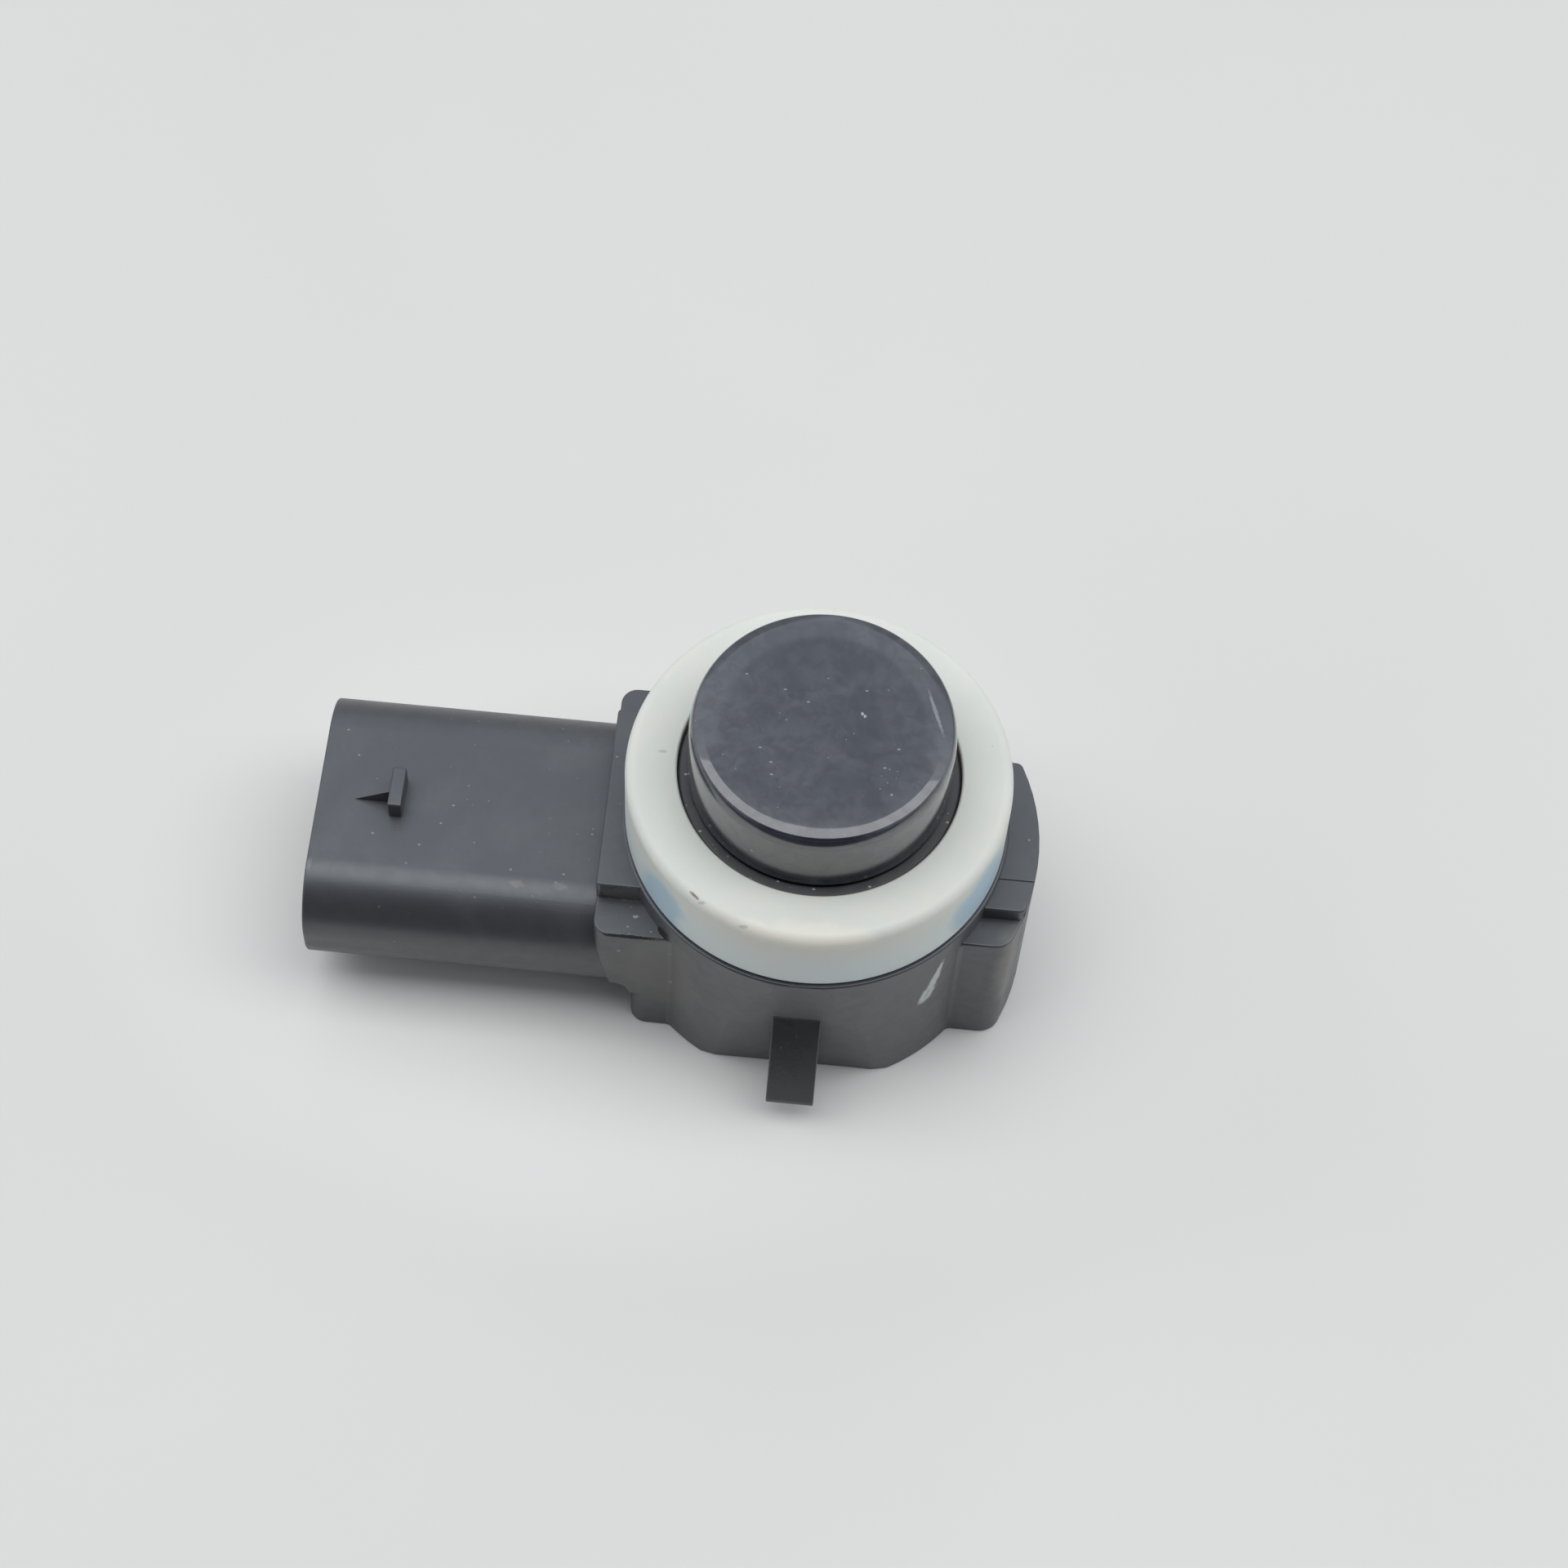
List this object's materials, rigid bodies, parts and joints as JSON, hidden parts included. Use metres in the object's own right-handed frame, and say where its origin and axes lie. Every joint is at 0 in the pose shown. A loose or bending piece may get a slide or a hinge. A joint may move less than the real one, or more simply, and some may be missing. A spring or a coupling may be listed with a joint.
{
  "type": "parking sensor",
  "caption": "Ultrasonic parking sensor with a round painted membrane pot in a white soft ring, a black moulded housing, latch noses and a side plug shroud.",
  "frame": {"origin": "on the membrane's axis, in the flat rear face", "axes": "+Z along the membrane's axis, the way the sensor looks; -X along the plug shroud, towards its mouth; +Y completes the frame"},
  "size_m": [0.0438, 0.0282, 0.024],
  "materials": {
    "housing_plastic": "satin moulded, with dust",
    "white_silicone": "milky, soft",
    "black_silicone": "matte",
    "membrane_paint": "glossy slate grey",
    "piezo_ceramic": "fired",
    "damping_foam": "matte",
    "carrier_plastic": "moulded",
    "tinned_contact": "tin plated",
    "wire_sheath": "matte",
    "board_laminate": "lacquered",
    "chip_resin": "moulded",
    "ferrite": "sintered",
    "enamel_wire": "enamelled",
    "capacitor_resin": "moulded"
  },
  "bodies": {
    "root": {"housing": "housing_plastic", "rear_cover": "housing_plastic", "decoupling_ring": "white_silicone", "membrane_pot": "membrane_paint", "pot_sleeve": "black_silicone", "piezo_disc": "piezo_ceramic", "damping_foam": "damping_foam", "contact_carrier": "carrier_plastic", "contact_pin_signal": "tinned_contact", "contact_pin_ground": "tinned_contact", "signal_wire": "wire_sheath", "ground_wire": "wire_sheath", "circuit_board": "board_laminate", "sensor_chip": "chip_resin", "transformer_core": "ferrite", "transformer_bobbin": "carrier_plastic", "transformer_winding": "enamel_wire", "storage_capacitor": "capacitor_resin", "ceramic_capacitors": "piezo_ceramic", "chip_resistors": "chip_resin", "protection_diode": "chip_resin", "terminal_1": "tinned_contact", "terminal_2": "tinned_contact", "terminal_3": "tinned_contact"}
  },
  "joints": []
}
